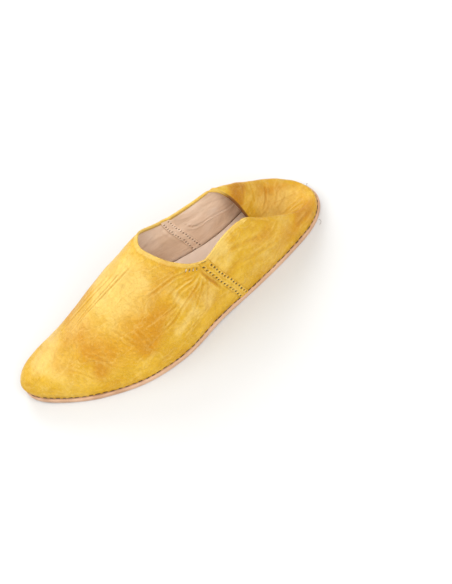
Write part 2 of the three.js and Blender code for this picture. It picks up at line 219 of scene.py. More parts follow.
def softened(points, length):
    """Rounds a polyline's corners by averaging over a length each way; its ends stay."""
    count = 240
    total = along_lengths(points)[-1]
    fine = points_at(points, np.linspace(0, 1, count + 1))
    sums = np.concatenate([np.zeros((1, 3)), np.cumsum(fine, axis=0)])
    i = np.arange(count + 1)
    window = np.minimum(np.minimum(round(length / total * count), i), count - i)
    return (sums[i + window + 1] - sums[i - window]) / (2 * window + 1)[:, None]


def ring_of(count):
    """Turns and sides of stations round the sole, closer together by the corner of the collar."""
    u = np.arange(count // 2 + 1) / (count // 2)
    corner = FOLD_END / math.pi
    shift = np.sin(2 * math.pi * (u - corner)) + math.sin(2 * math.pi * corner)
    turns = math.pi * u - STATION_CROWDING * shift
    turn = np.concatenate([turns, turns[-2:0:-1]])
    side = np.concatenate([np.ones(len(turns)), -np.ones(len(turns) - 2)])
    return turn, side


def upper_grid(turn, side, fractions):
    """The upper's outer sheet, rows by stations by 3: sole edge first, free edge last."""
    foot = outline_points(turn, side, UPPER_INSET)
    outward = foot - outline_points(turn, side, UPPER_INSET + 1)
    crown = row_points(CROWN, CROWN_TURNS, turn, side)
    base = UPPER_BASE + lift(foot[:, 1])
    on_dome = smoothstep(turn, *DOME_TURNS)
    miss = crown[:, 2] - dome_height(crown[:, 0], crown[:, 1])
    toe_turn = turn * np.where(side > 0, TOE_BULGE_LATERAL, 1)
    bulge = TOE_BULGE * smoothstep(toe_turn, *TOE_BULGE_TURNS)
    s = (np.linspace(0, 1, WALL_POINTS) ** 2)[:, None]
    x = foot[:, 0] + (crown[:, 0] - foot[:, 0]) * s
    y = foot[:, 1] + (crown[:, 1] - foot[:, 1]) * s
    wall = base + (crown[:, 2] - base) * (1 - (1 - s) ** QUARTER_POWER) ** (1 / QUARTER_POWER)
    z = wall + (dome_height(x, y) + miss * s - wall) * on_dome
    z[0] = base
    swell = bulge * np.sin(math.pi * np.minimum(1, np.maximum(0, z - base) / TOE_BULGE_HEIGHT))
    walls = np.stack([x + outward[:, 0] * swell, y + outward[:, 1] * swell, z], -1)

    edge = row_points(FLAP_EDGE, FLAP_TURNS, np.minimum(turn, FOLD_END), side)
    length = np.linalg.norm(edge - crown, axis=1)
    sag = FLAP_SAG * smoothstep(length, *FLAP_SAG_LENGTHS)
    s = np.linspace(0, 1, FLAP_POINTS)[1:, None]
    bend = FLAP_TURN_IN * s * (1 - s)
    x = crown[:, 0] + (edge[:, 0] - crown[:, 0]) * (s + bend)
    y = crown[:, 1] + (edge[:, 1] - crown[:, 1]) * (s - bend)
    over = crown[:, 2] + (edge[:, 2] - crown[:, 2]) * s - sag * 4 * s * (1 - s) - FLAP_FLOOR
    flaps = np.stack([x, y, FLAP_FLOOR + (over + np.hypot(over, FLAP_LANDING)) / 2], -1)

    columns = []
    for i in range(len(turn)):
        line = walls[:, i]
        if turn[i] < FOLD_END:
            line = softened(np.concatenate([line, flaps[:, i]]), FOLD_ROUNDING)
        columns.append(points_at(line, fractions))
    return np.stack(columns, 1)


def grid_normals(grid):
    up = np.gradient(grid, axis=0)
    around = np.roll(grid, -1, axis=1) - np.roll(grid, 1, axis=1)
    return unit(np.cross(up, around))


def smooth_grid(grid, passes):
    for _ in range(passes):
        around = (np.roll(grid, 1, axis=1) + np.roll(grid, -1, axis=1)) / 2
        grid += 0.5 * (around - grid)
        grid[1:-1] += 0.25 * (grid[2:] + grid[:-2] - 2 * grid[1:-1])
    return grid


# the tables have their own origin, and the frame's is the middle of the outsole's box
WIDE_TURNS = np.linspace(0, math.pi, 721)
WIDE_CENTRE = through(OUTLINE_TURNS, OUTLINE["centre"], WIDE_TURNS)
WIDE_HALF = through(OUTLINE_TURNS, FULLNESS, WIDE_TURNS) * np.sin(WIDE_TURNS)
OUTLINE_MIDDLE = ((WIDE_CENTRE + WIDE_HALF).max() + (WIDE_CENTRE - WIDE_HALF).min()) / 2
SOLE_MIDDLE = np.mean(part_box("outsole"), axis=0) / MM
SHIFT = np.array([SOLE_MIDDLE[0] - OUTLINE_MIDDLE, SOLE_MIDDLE[1], 0.0])


def to_frame(points):
    return (np.asarray(points, float) + SHIFT) * MM


# ---- mesh helpers
def new_mesh(name, points, faces, marks=None):
    """Smooth-shaded object from points in millimetres; marks are numbers a point for the materials."""
    mesh = bpy.data.meshes.new(name)
    mesh.from_pydata(to_frame(points).tolist(), [], [tuple(map(int, f)) for f in faces])
    mesh.validate()
    for key, values in (marks or {}).items():
        layer = mesh.attributes.new(key, "FLOAT", "POINT")
        layer.data.foreach_set("value", np.asarray(values, np.float32))
    mesh.polygons.foreach_set("use_smooth", [True] * len(mesh.polygons))
    mesh.update()
    piece = bpy.data.objects.new(name, mesh)
    bpy.context.scene.collection.objects.link(piece)
    return piece


def facing_out(piece):
    """The same piece with all of its faces turned outwards."""
    work = bmesh.new()
    work.from_mesh(piece.data)
    bmesh.ops.recalc_face_normals(work, faces=work.faces)
    work.to_mesh(piece.data)
    work.free()
    return piece


def band_faces(low, high):
    """Quads between two rings of vertex numbers."""
    return np.stack([low, high, np.roll(high, -1), np.roll(low, -1)], -1)


def ring_shell(rows):
    """Faces of a closed shell made of rings, the last ring joined to the first."""
    count = rows[0].shape[0]
    numbers = [np.arange(count) + count * k for k in range(len(rows))]
    faces = [band_faces(numbers[k], numbers[(k + 1) % len(rows)]) for k in range(len(rows))]
    return np.concatenate(rows), np.concatenate(faces)


rng = np.random.default_rng(7)
LAYERS = 3
WAVE_COUNT = 24
WAVE_RATE = 2.2
WAVES = rng.normal(size=(LAYERS, WAVE_COUNT, 3))
PHASES = rng.uniform(0, 2 * math.pi, size=(LAYERS, WAVE_COUNT))


def lumps(points, size, layer=0):
    """Smooth random field of about -1 to 1 with features of this size."""
    waves = WAVES[layer] * (WAVE_RATE / size)
    return np.cos(points @ waves.T + PHASES[layer]).sum(-1) / math.sqrt(WAVE_COUNT / 2)


def near_line(points, line):
    """Distance to a polyline, and how far along it the nearest place is, 0 to 1."""
    line = np.asarray(line, float)
    best = np.full(points.shape[:-1], 1e9)
    where = np.zeros(points.shape[:-1])
    reach = along_lengths(line)
    for k in range(len(line) - 1):
        leg = line[k + 1] - line[k]
        t = np.clip(((points - line[k]) @ leg) / max(leg @ leg, 1e-9), 0, 1)
        gap = np.linalg.norm(points - line[k] - t[..., None] * leg, axis=-1)
        closer = gap < best
        best = np.where(closer, gap, best)
        where = np.where(closer, (reach[k] + t * (reach[k + 1] - reach[k])) / reach[-1], where)
    return best, where


# ---- the upper's sheet
TURN, SIDE = ring_of(STATIONS)
SHEET = smooth_grid(upper_grid(TURN, SIDE, np.linspace(0, 1, ROWS)), 2)
NORMAL = grid_normals(SHEET)
ROW_STEPS = np.linalg.norm(np.diff(SHEET, axis=0), axis=2)
# distance up the sheet from the sole's edge, and on from there to the free edge
RISE = np.concatenate([np.zeros((1, STATIONS)), np.cumsum(ROW_STEPS, 0)])
TO_EDGE = RISE[-1] - RISE


def column_of(turn_degrees, side):
    """Ring position, as a real number, of a turn on one side."""
    half = STATIONS // 2
    place = np.interp(math.radians(turn_degrees), TURN[: half + 1], np.arange(half + 1))
    return place if side > 0 else STATIONS - place


def on_grid(grid, column, fraction):
    """Point of a rows-by-stations grid, between its columns and rows."""
    column = np.asarray(column, float) % STATIONS
    row = np.clip(np.asarray(fraction, float), 0, 1) * (ROWS - 1)
    i, j = np.floor(column).astype(int), np.minimum(np.floor(row).astype(int), ROWS - 2)
    u, v = (column - i)[..., None], (row - j)[..., None]
    n = (i + 1) % STATIONS
    low = grid[j, i] * (1 - u) + grid[j, n] * u
    high = grid[j + 1, i] * (1 - u) + grid[j + 1, n] * u
    return low * (1 - v) + high * v


CREASE_PATH_POINTS = 24


def path_on_upper(side, places):
    """A smooth path on the sheet through (turn in degrees, height fraction) places."""
    turns, heights = np.array(places, float).T
    t = np.linspace(0, 1, CREASE_PATH_POINTS)
    knots = np.linspace(0, 1, len(places))
    columns = [column_of(a, side) for a in through(knots, turns, t)]
    return on_grid(SHEET, np.array(columns), through(knots, heights, t))


CREASE_MARGIN = 5
FADE_IN = 0.18
FADE_OUT = 0.72
FADE_LEAST = 0.02
RIDGE_AT = 2.0
SHOULDER = 0.45
FAN_SHOULDER = 0.8


def crease(points, side, places, depth, width, shoulder=SHOULDER):
    """Push of one crease: a soft trough between two low ridges, fading at both ends."""
    line = path_on_upper(side, places)
    margin = CREASE_MARGIN * width
    close = ((points > line.min(0) - margin) & (points < line.max(0) + margin)).all(-1)
    gap, along = near_line(points[close], line)
    fade = smoothstep(along, 0, FADE_IN) * (1 - smoothstep(along, FADE_OUT, 1)) + FADE_LEAST
    trough = np.exp(-((gap / width) ** 2))
    ridge = np.exp(-(((gap - RIDGE_AT * width) / width) ** 2))
    push = np.zeros(points.shape[:-1])
    push[close] = fade * depth * (shoulder * ridge - trough)
    return push


FINE_CREASE_WIDTH = 0.13


def fine_creases(points, size, stretch, layer):
    """Thin wandering lines, 1 on a line, where a smooth random field crosses zero."""
    field = lumps(points * stretch, size, layer)
    return np.exp(-((field / FINE_CREASE_WIDTH) ** 2))


# main creases: side (1 lateral, -1 medial), places as (turn, height fraction), depth, width
CREASES = [
    # long creases down the middle of the vamp
    (1, [(153, 0.93), (160, 0.82), (168, 0.70), (174, 0.58), (172, 0.44)], 0.40, 0.7),
    (1, [(166, 0.88), (173, 0.78), (177, 0.67), (178, 0.54), (175, 0.42)], 0.36, 0.7),
    (-1, [(172, 0.86), (168, 0.70), (166, 0.52), (168, 0.38)], 0.26, 0.8),
    (-1, [(158, 0.80), (158, 0.62), (160, 0.46)], 0.20, 0.9),
    # bends of the vamp over the toes' joints, lateral side
    (1, [(120, 0.34), (129, 0.44), (140, 0.50)], 0.16, 0.9),
    (1, [(126, 0.18), (136, 0.28), (149, 0.33)], 0.16, 0.9),
    (1, [(134, 0.12), (143, 0.19), (156, 0.23)], 0.14, 0.8),
    (1, [(112, 0.22), (117, 0.38), (125, 0.52)], 0.16, 0.9),
    # sag lines of the quarters
    (1, [(72, 0.84), (66, 0.70), (57, 0.55)], 0.22, 1.8),
    (1, [(70, 0.50), (62, 0.40), (50, 0.36)], 0.20, 1.5),
    (1, [(42, 0.24), (34, 0.20), (26, 0.16)], 0.25, 1.5),
    (-1, [(72, 0.80), (64, 0.62), (54, 0.48)], 0.35, 2.0),
    (-1, [(70, 0.45), (60, 0.36), (48, 0.32)], 0.30, 1.8),
    # the pull just ahead of each seam
    (1, [(84.5, 0.90), (82.6, 0.72), (80.6, 0.54), (79.2, 0.34)], 0.60, 1.0),
    (-1, [(84.5, 0.90), (82.6, 0.72), (80.6, 0.54), (79.2, 0.34)], 0.50, 1.0),
]
# fan of wrinkles from the top of each side seam: places as (turn, height fraction), depth, width
FAN = [
    [(92, 0.91), (104, 0.83), (115, 0.74), (123, 0.68), 0.26, 0.8],
    [(85, 0.87), (91, 0.77), (98, 0.70), (103, 0.58), 0.27, 0.9],
    [(84, 0.85), (89, 0.69), (97, 0.54), (104, 0.41), (111, 0.38), 0.28, 0.9],
    [(88, 0.84), (96, 0.78), (106, 0.68), 0.20, 0.8],
    [(84, 0.80), (87, 0.62), (92, 0.44), (96, 0.32), 0.22, 0.8],
    [(83, 0.72), (85, 0.52), (88, 0.34), 0.20, 0.7],
    [(97, 0.62), (104, 0.54), (110, 0.50), 0.14, 0.8],
    [(88, 0.30), (94, 0.24), (101, 0.22), 0.14, 0.8],
]
# creases down the folded-in heel leather: side, first turn, from and to fraction, depth, width
FLAP_CREASES = [
    (-1, 51, 0.62, 0.97, 0.14, 0.9),
    (-1, 46, 0.54, 0.80, 0.20, 0.8),
    (-1, 41, 0.66, 0.98, 0.14, 0.9),
    (-1, 37, 0.44, 0.76, 0.26, 1.0),
    (-1, 31, 0.60, 0.96, 0.14, 0.8),
    (-1, 28, 0.36, 0.62, 0.22, 0.8),
    (-1, 21, 0.28, 0.60, 0.18, 0.8),
    (1, 3, 0.22, 0.66, 0.20, 0.9),
    (1, 12, 0.26, 0.50, 0.16, 0.8),
    (1, 20, 0.32, 0.60, 0.18, 0.8),
    (1, 31, 0.40, 0.80, 0.16, 0.9),
    (1, 44, 0.54, 0.92, 0.14, 0.9),
]
# each of them leans to a smaller turn on its way
FLAP_LEAN = (1, 0.97, 0.92)


def wrinkle_field(points):
    """Displacement along the normal, in millimetres, of the outer leather."""
    push = np.zeros(points.shape[:-1])
    for side, places, depth, width in CREASES:
        push += crease(points, side, places, depth, width)
    for side in (1, -1):
        for *places, depth, width in FAN:
            push += crease(points, side, places, depth, width, FAN_SHOULDER)
    for side, turn, start, end, depth, width in FLAP_CREASES:
        heights = (start, (start + end) / 2, end)
        places = [(turn * lean, height) for lean, height in zip(FLAP_LEAN, heights)]
        push += crease(points, side, places, depth, width)
    return push


UP = np.array([0.0, 0.0, 1.0])
STITCH_PITCH = 5.2
GATHER_DEPTH = 0.22
GATHER_RISE = 3.5
WELT_SWELL = 0.35
WELT_AT = 5
WELT_REACH = 4


def base_gather():
    """Puckers where the sole's stitches pull the leather in, and the low swell above them."""
    pulls = np.sin(2 * math.pi * along_lengths(SHEET[0]) / STITCH_PITCH)
    pucker = -GATHER_DEPTH * (0.5 + 0.5 * pulls) * np.exp(-((RISE / GATHER_RISE) ** 2))
    return pucker + WELT_SWELL * np.exp(-(((RISE - WELT_AT) / WELT_REACH) ** 2))


# depths and sizes, in millimetres, of the leather's slow unevenness and of its net of fine creases
BROAD_LUMPS = (0.20, 30)
SMALL_LUMPS = (0.10, 11)
LONG_NET = (0.10, 22, (1.6, 0.55, 1.6))
SEAM_NET = (0.20, 10, (0.8, 1.5, 0.8))
SEAM_NET_TURN = 88
SEAM_NET_REACH = 16
HEM_DEPTH = 0.08
HEM_FROM_EDGE = 2.8
HEM_WIDTH = 0.7
HEM_SHADE = 1.5
HEM_FADE = 0.2
EDGE_CALM = (0.5, 7)
EDGE_SHARE = 0.1
SOLE_CALM = (0, 5)

FREE_EDGE = smoothstep(TO_EDGE, *EDGE_CALM) * (1 - EDGE_SHARE) + EDGE_SHARE
LUMP = BROAD_LUMPS[0] * lumps(SHEET, BROAD_LUMPS[1]) + SMALL_LUMPS[0] * lumps(SHEET, SMALL_LUMPS[1], 1)
NEAR_SEAM = np.exp(-(((np.degrees(TURN) - SEAM_NET_TURN) / SEAM_NET_REACH) ** 2))[None, :]
NETWORK = -LONG_NET[0] * fine_creases(SHEET, LONG_NET[1], LONG_NET[2], 0)
NETWORK -= SEAM_NET[0] * NEAR_SEAM * fine_creases(SHEET, SEAM_NET[1], SEAM_NET[2], 1)
PAST_FOLD = smoothstep(TURN, FOLD_END, FOLD_END + HEM_FADE)[None, :]
HEM_LINE = -HEM_DEPTH * np.exp(-(((TO_EDGE - HEM_FROM_EDGE) / HEM_WIDTH) ** 2)) * PAST_FOLD
WRINKLE = wrinkle_field(SHEET) + NETWORK
PUSH = (WRINKLE + LUMP) * FREE_EDGE * smoothstep(RISE, *SOLE_CALM) + base_gather() + HEM_LINE
# the hem's groove is also painted darker in the colour: painted shade
WRINKLE += HEM_SHADE * HEM_LINE
OUTER = SHEET + NORMAL * PUSH[..., None]

# ---- leather of the upper
ROLL_RADIUS = 1.0
ROLL_ANGLES = np.radians(np.linspace(20, 160, 9))
HEM_DOWNS = (0.4, 1.1, 1.8, 2.6)
HEM_LEAN = 0.05
HEM_PLY = 0.25
PLY_GAP = 0.05
# the lining's share of the outer creases, and its own broad and small slack
LINING_FOLLOWS = 0.45
SOFT = 0.30 * lumps(SHEET, 20, 2) + 0.12 * lumps(SHEET * [1, 0.5, 1.2], 9, 1)
FLAP_STARTS = (0.35, 0.6)
IS_FLAP = (TURN < FOLD_END)[None, :] * smoothstep(RISE / RISE[-1], *FLAP_STARTS)
FLAP_CALM = 0.8
SLACK_FROM = (1, 9)
CALM = smoothstep(TO_EDGE, *SLACK_FROM) * smoothstep(RISE, *SLACK_FROM) * (1 - FLAP_CALM * IS_FLAP)
LINING_LINES = [
    # a raised edge that runs back from each seam, and slack folds of the lining; their relief also sets the
    # lining's painted shade and highlight
    (-1, [(74, 0.60), (71, 0.44), (66, 0.40), (58, 0.30), (50, 0.26)], -0.8, 1.0),
    (-1, [(73.4, 0.70), (72.0, 0.50), (70.0, 0.42), (67.0, 0.42)], 0.9, 0.55),
    (1, [(74, 0.60), (71, 0.44), (66, 0.40), (58, 0.30), (50, 0.26)], -0.8, 1.0),
    (-1, [(88, 0.84), (95, 0.60), (97, 0.34)], 0.25, 1.2),
    (-1, [(100, 0.88), (108, 0.66), (112, 0.40)], 0.25, 1.3),
    (-1, [(120, 0.90), (126, 0.70), (128, 0.50)], 0.25, 1.5),
    (-1, [(68, 0.80), (60, 0.60), (50, 0.44)], 0.25, 1.3),
]
LINING_FOLD = sum(crease(SHEET, *line) for line in LINING_LINES)
IN_BY = LINING_FOLLOWS * PUSH - (UPPER_WALL - PLY_GAP) - SOFT * CALM + LINING_FOLD * CALM
INNER = SHEET + NORMAL * IN_BY[..., None]
# the face where leather and lining meet keeps below every crease within a few rows
ROWS_AROUND = 3
THINNEST_PLY = 1.2
PAD = np.pad(PUSH, ((ROWS_AROUND, ROWS_AROUND), (0, 0)), mode="edge")
LOWEST = np.min([PAD[k : k + ROWS] for k in range(2 * ROWS_AROUND + 1)], axis=0)
MIDDLE = SHEET + NORMAL * ((LOWEST + np.minimum(IN_BY, -THINNEST_PLY)) / 2)[..., None]
BACK_ROWS = range(ROWS - 3, -1, -5)


def rolled_edge():
    """Rows that carry the leather over the free edge and down inside as a turned-in hem."""
    edge, n = OUTER[-1], NORMAL[-1]
    up = unit(OUTER[-1] - OUTER[-4])
    middle = edge - n * (UPPER_WALL / 2)
    rows = [middle + ROLL_RADIUS * (math.cos(angle) * n + math.sin(angle) * up) for angle in ROLL_ANGLES]
    for down in HEM_DOWNS:
        rows.append(middle - n * (ROLL_RADIUS - HEM_LEAN * down) - up * down)
    rows.append(middle - n * (UPPER_WALL / 2 - HEM_PLY) - up * HEM_DOWNS[-1])
    return rows


CUT_TURNS = (62, 56)
CUT_THICKNESS = (1.5, 0.6)
RIM_HIGHLIGHT = 0.8
RIM_HIGHLIGHT_WIDTH = (3.0, 1.4)


def make_leather():
    """Golden leather: outer face, rolled edge and back, marked with the painted shade and highlight of its
    folds, its raw edge, its stains and painted highlights.
    """
    hem = rolled_edge()
    back = [MIDDLE[j] + NORMAL[j] * PLY_GAP for j in BACK_ROWS]
    points, faces = ring_shell([*OUTER, *hem, *back])
    unseen = np.zeros(len(back) * STATIONS)
    raw_edge = smoothstep(np.degrees(TURN), *CUT_TURNS)
    cut = (raw_edge[None, :] * smoothstep(TO_EDGE, *CUT_THICKNESS)).ravel()
    marks = dict(
        relief_shade=np.concatenate([WRINKLE.ravel(), np.zeros(len(hem) * STATIONS), unseen]),
        cut=np.concatenate([cut, np.tile(raw_edge, len(hem)), unseen]),
    )
    # painted highlight along the rolled rim of the collar and throat, kept off the raw cut edge
    rim = RIM_HIGHLIGHT * (1 - raw_edge) * smoothstep(TO_EDGE, *RIM_HIGHLIGHT_WIDTH)
    stains_and_highlights = dict(brown=patch_sum(SHEET, BROWN_PATCHES), pale=patch_sum(SHEET, PALE_AND_HIGHLIGHT_PATCHES) + rim)
    for name, value in stains_and_highlights.items():
        marks[name] = np.concatenate([value.ravel(), np.tile(value[-1], len(hem) + len(back))])
    return new_mesh("upper_leather", points, faces, marks)


# soft patches of darker leather, or of paler colour: side, turn, height fraction, reach along and up,
# strength
BROWN_PATCHES = [
    (1, 107, 0.86, 9, 8, 0.7),
    (1, 112, 0.72, 11, 8, 0.7),
    (1, 113, 0.57, 14, 10, 0.8),
    (1, 120, 0.46, 16, 10, 0.9),
    (1, 131, 0.37, 18, 10, 0.9),
    (1, 143, 0.31, 20, 9, 0.8),
    (1, 157, 0.25, 17, 6, 0.5),
    (1, 112, 0.34, 16, 8, 0.5),
    (1, 92, 0.66, 6, 12, 0.5),
    (1, 81, 0.60, 3, 12, 0.8),
    (1, 34, 0.24, 12, 9, 1.3),
    (1, 60, 0.58, 14, 8, 0.8),
    (1, 50, 0.30, 16, 8, 0.5),
    (1, 18, 0.12, 12, 7, 0.8),
    (-1, 51, 0.84, 7, 9, 1.9),
    (-1, 49, 0.74, 6, 6, 1.0),
    (-1, 32, 0.40, 12, 4, 0.6),
    (-1, 150, 0.42, 40, 9, 0.6),
    (-1, 120, 0.40, 34, 14, 0.8),
    (-1, 40, 0.30, 22, 12, 0.8),
    (1, 10, 0.55, 12, 9, 0.4),
]
PALE_AND_HIGHLIGHT_PATCHES = [
    # paler colour: the first five, along the crown of the vamp, are a painted highlight; the rest are paler
    # leather
    (1, 148, 0.84, 18, 16, 1.0),
    (1, 152, 0.66, 22, 14, 1.1),
    (1, 162, 0.46, 24, 13, 1.1),
    (1, 170, 0.26, 22, 12, 1.2),
    (1, 128, 0.76, 12, 9, 0.7),
    (1, 100, 0.62, 5, 5, 1.1),
    (1, 97, 0.37, 12, 5, 1.1),
    (1, 85, 0.36, 8, 9, 1.2),
    (1, 94, 0.50, 5, 8, 0.6),
    (1, 72, 0.86, 9, 9, 1.3),
    (1, 40, 0.78, 18, 9, 0.7),
    (1, 60, 0.20, 20, 8, 0.5),
    (-1, 34, 0.62, 16, 18, 0.8),
    (-1, 22, 0.45, 14, 14, 0.6),
    (-1, 100, 0.50, 25, 18, 0.6),
    (-1, 150, 0.70, 30, 14, 0.7),
]


PATCH_WARP = 3.5
PATCH_WARP_SIZE = 14
MOST_STAIN = 2


def patch_sum(points, patches):
    """How strongly the patches together colour each point, their edges wavering."""
    total = np.zeros(points.shape[:-1])
    warp = np.stack([lumps(points, PATCH_WARP_SIZE, k) for k in range(LAYERS)], -1) * PATCH_WARP
    up = unit(np.gradient(SHEET, axis=0))
    for side, turn, height, along, rise, strength in patches:
        at = column_of(turn, side)
        centre = on_grid(SHEET, at, height)
        direction = on_grid(up, at, height)
        offset = points + warp - centre
        vertical = offset @ direction
        rest = np.linalg.norm(offset - vertical[..., None] * direction, axis=-1)
        total += strength * np.exp(-((vertical / rise) ** 2) - (rest / along) ** 2)
    return np.clip(total, 0, MOST_STAIN)


# ---- lining
def make_lining():
    """Beige leather on the inside of the wall and under the fold, with soft folds of its own, marked for
    their painted shade and highlight.
    """
    every_other = slice(0, ROWS - 1, 2)
    behind = [MIDDLE[j] - NORMAL[j] * PLY_GAP for j in BACK_ROWS]
    points, faces = ring_shell([*INNER[every_other], *behind])
    relief_shade = np.concatenate([LINING_FOLD[every_other].ravel(), np.zeros(len(behind) * STATIONS)])
    return new_mesh("upper_lining", points, faces[:, ::-1], dict(relief_shade=relief_shade))


# ---- side seams
STRIP_HALF = 4.4
STRIP_COLUMNS = 41
STRIP_HEIGHT = 0.8
STRIP_SINK = 0.35
STRIP_RIB = 0.16
INNER_STRIP_SHARE = 0.55
HOLE_PITCH = 3.8
HOLE_JITTER = 0.28
HOLE_RADIUS = 0.95
HOLE_DEPTH = 0.85
INNER_HOLE_SHARE = 0.6
PUCKER_HEIGHT = 0.34
PUCKER_AT = 1.6 * HOLE_RADIUS
PUCKER_WIDTH = 0.5
STRIP_EDGE_SHADOW = 0.45
HOLE_SHADE = 0.8
PUCKER_HIGHLIGHT = 0.30
# the two rows of holes: place across the strip, and where the first hole is
STITCH_ROWS = [(-2.6, 1.6), (2.6, 3.0)]
SEAM_ROWS = np.linspace(0.0, 0.995, 150)
SEAM_TURNS = SEAM_FOOT_TURN + (SEAM_TOP_TURN - SEAM_FOOT_TURN) * SEAM_ROWS
ACROSS = np.linspace(-STRIP_HALF, STRIP_HALF, STRIP_COLUMNS)
COLUMNS_AROUND = 14


def ring_offset(grid, row, column, distance):
    """Point a signed distance round the ring from a column, on one row of a grid."""
    around = np.arange(-COLUMNS_AROUND, COLUMNS_AROUND + 1)
    line = np.array([on_grid(grid, column + k, row) for k in around])
    lengths = along_lengths(line)
    return place_along(line, lengths, lengths[COLUMNS_AROUND] + distance)


def seam_spine(grid, side, distance):
    places = zip(SEAM_ROWS, SEAM_TURNS)
    return np.array([ring_offset(grid, row, column_of(turn, side), distance) for row, turn in places])


def stitch_holes(side, inside, length):
    """Places of a strip's holes, (across, along) in millimetres, a little uneven as by hand."""
    uneven = np.random.default_rng(11 + side + 4 * inside)
    holes = []
    for across, start in STITCH_ROWS:
        for k in range(int((length - 1.0) / HOLE_PITCH)):
            shift = uneven.normal(0, HOLE_JITTER, 2)
            holes.append((across + shift[0], start + k * HOLE_PITCH + shift[1]))
    return holes


def strip_frame(side, inside):
    """Lines along the strip, the direction it stands proud in, and distances along it."""
    grid = INNER if inside else OUTER
    lines = np.stack([seam_spine(grid, side, a) for a in ACROSS], 1)
    columns = np.array([column_of(turn, side) for turn in SEAM_TURNS])
    n = on_grid(NORMAL, columns, SEAM_ROWS)
    return lines, -n if inside else n, along_lengths(lines[:, STRIP_COLUMNS // 2])


def seam_name(kind, side, inside):
    return f"{kind}_{'inner' if inside else 'outer'}_{'lateral' if side > 0 else 'medial'}"


def make_seam_strip(side, inside):
    """Raised strip over one side seam, dimpled at every stitch hole."""
    lines, proud, height = strip_frame(side, inside)
    body = 1 - np.abs(ACROSS / STRIP_HALF) ** 8
    # painted shadow along both edges of the strip
    tint = np.tile(-STRIP_EDGE_SHADOW * np.abs(ACROSS / STRIP_HALF) ** 10, (len(lines), 1))
    wave = 0.12 * np.sin(height / 2.3 + side) + 0.10 * np.sin(height / 5.1)
    lift_by = STRIP_HEIGHT * body[None, :] * (INNER_STRIP_SHARE if inside else 1)
    lift_by = lift_by + wave[:, None] * body[None, :] * 0.4
    lift_by += STRIP_RIB * np.exp(-(ACROSS**2))[None, :]
    for row_at, centre in stitch_holes(side, inside, height[-1]):
        gap = np.hypot(ACROSS[None, :] - row_at, (height[:, None] - centre) * 0.9)
        pit = np.exp(-((gap / HOLE_RADIUS) ** 2)) * (INNER_HOLE_SHARE if inside else 1)
        pucker = np.exp(-(((gap - PUCKER_AT) / PUCKER_WIDTH) ** 2))
        lift_by += -HOLE_DEPTH * pit + PUCKER_HEIGHT * pucker
        # painted shade in each hole and painted highlight on the pucker round it
        tint += -HOLE_SHADE * pit + PUCKER_HIGHLIGHT * pucker
    top = lines + proud[:, None, :] * lift_by[..., None]
    bottom = lines - proud[:, None, :] * STRIP_SINK
    rows, cols = top.shape[:2]
    count = rows * cols
    points = np.concatenate([top.reshape(-1, 3), bottom.reshape(-1, 3)])
    index = np.arange(count).reshape(rows, cols)
    quads = np.stack([index[:-1, :-1], index[1:, :-1], index[1:, 1:], index[:-1, 1:]], -1).reshape(-1, 4)
    border = np.concatenate([index[0, :-1], index[:-1, -1], index[-1, :0:-1], index[:0:-1, 0]])
    nexts = np.roll(border, -1)
    rim = np.stack([border, nexts, nexts + count, border + count], -1)
    faces = np.concatenate([quads, quads[:, ::-1] + count, rim])
    marks = dict(relief_shade=np.tile(tint.ravel(), 2))
    return facing_out(new_mesh(seam_name("seam", side, inside), points, faces, marks))


THREAD_RINGS = 7
THREAD_TIP = 0.02


def thread_bits(name, bits, sides=8):
    """Short rounded bits of thread joined as one mesh: (start, end, bow direction, radius, bow)."""
    points, faces = [], []
    t = np.linspace(0, 1, THREAD_RINGS)
    swell = np.sqrt(np.clip(1 - (2 * t - 1) ** 6, THREAD_TIP, 1))
    angles = np.linspace(0, 2 * math.pi, sides, endpoint=False)[:, None]
    for start, end, bow_way, radius, bow in bits:
        spine = start + (end - start) * t[:, None] + bow_way * (bow * 4 * t * (1 - t))[:, None]
        way = unit(end - start)
        u = unit(np.cross(way, bow_way))
        v = np.cross(u, way)
        rims = radius * swell[:, None, None] * (np.cos(angles) * u + np.sin(angles) * v)
        rings = np.arange(len(t) * sides).reshape(len(t), sides) + len(points)
        points.extend((spine[:, None] + rims).reshape(-1, 3))
        for low, high in zip(rings[:-1], rings[1:]):
            faces.extend(np.stack([low, np.roll(low, -1), np.roll(high, -1), high], -1).tolist())
        faces += [rings[0][::-1].tolist(), rings[-1].tolist()]
    return facing_out(new_mesh(name, points, faces))


def rim_wraps(side):
    """Dark thread carried over the collar's rim at the top of a side seam."""
    bits = []
    for past_seam in (-1.4, -0.2, 1.5):
        column = column_of(SEAM_TOP_TURN + past_seam, side)
        edge, below = on_grid(OUTER, column, 1.0), on_grid(OUTER, column, 0.97)
        up = unit(edge - below)
        n = on_grid(NORMAL, column, 1.0)
        bits.append((edge + n * 0.45 - up * 0.6, edge - n * 1.2 + up * 0.5, up, 0.34, 0.5))
    return bits


def make_seam_threads(side, inside):
    """Dark thread at the bottom of each dimple of the seam's two rows."""
    bits = []
    lines, proud, height = strip_frame(side, inside)
    for row_at, at in stitch_holes(side, inside, height[-1]):
        line = lines[:, int(np.argmin(np.abs(ACROSS - row_at)))]
        here = place_along(line, height, at)
        n = place_along(proud, height, at)
        way = unit(line[min(len(line) - 1, np.searchsorted(height, at) + 2)] - here)
        length = rng.uniform(0.35, 0.70)
        middle = here + n * 0.10
        bits.append((middle - way * length, middle + way * length, n, rng.uniform(0.50, 0.70), 0.12))
    if not inside:
        bits += rim_wraps(side)
    return thread_bits(seam_name("seam_thread", side, inside), bits)


TACK_TURNS = (86.0, 88.4, 90.8, 93.0)
TACK_PROUD = 0.2


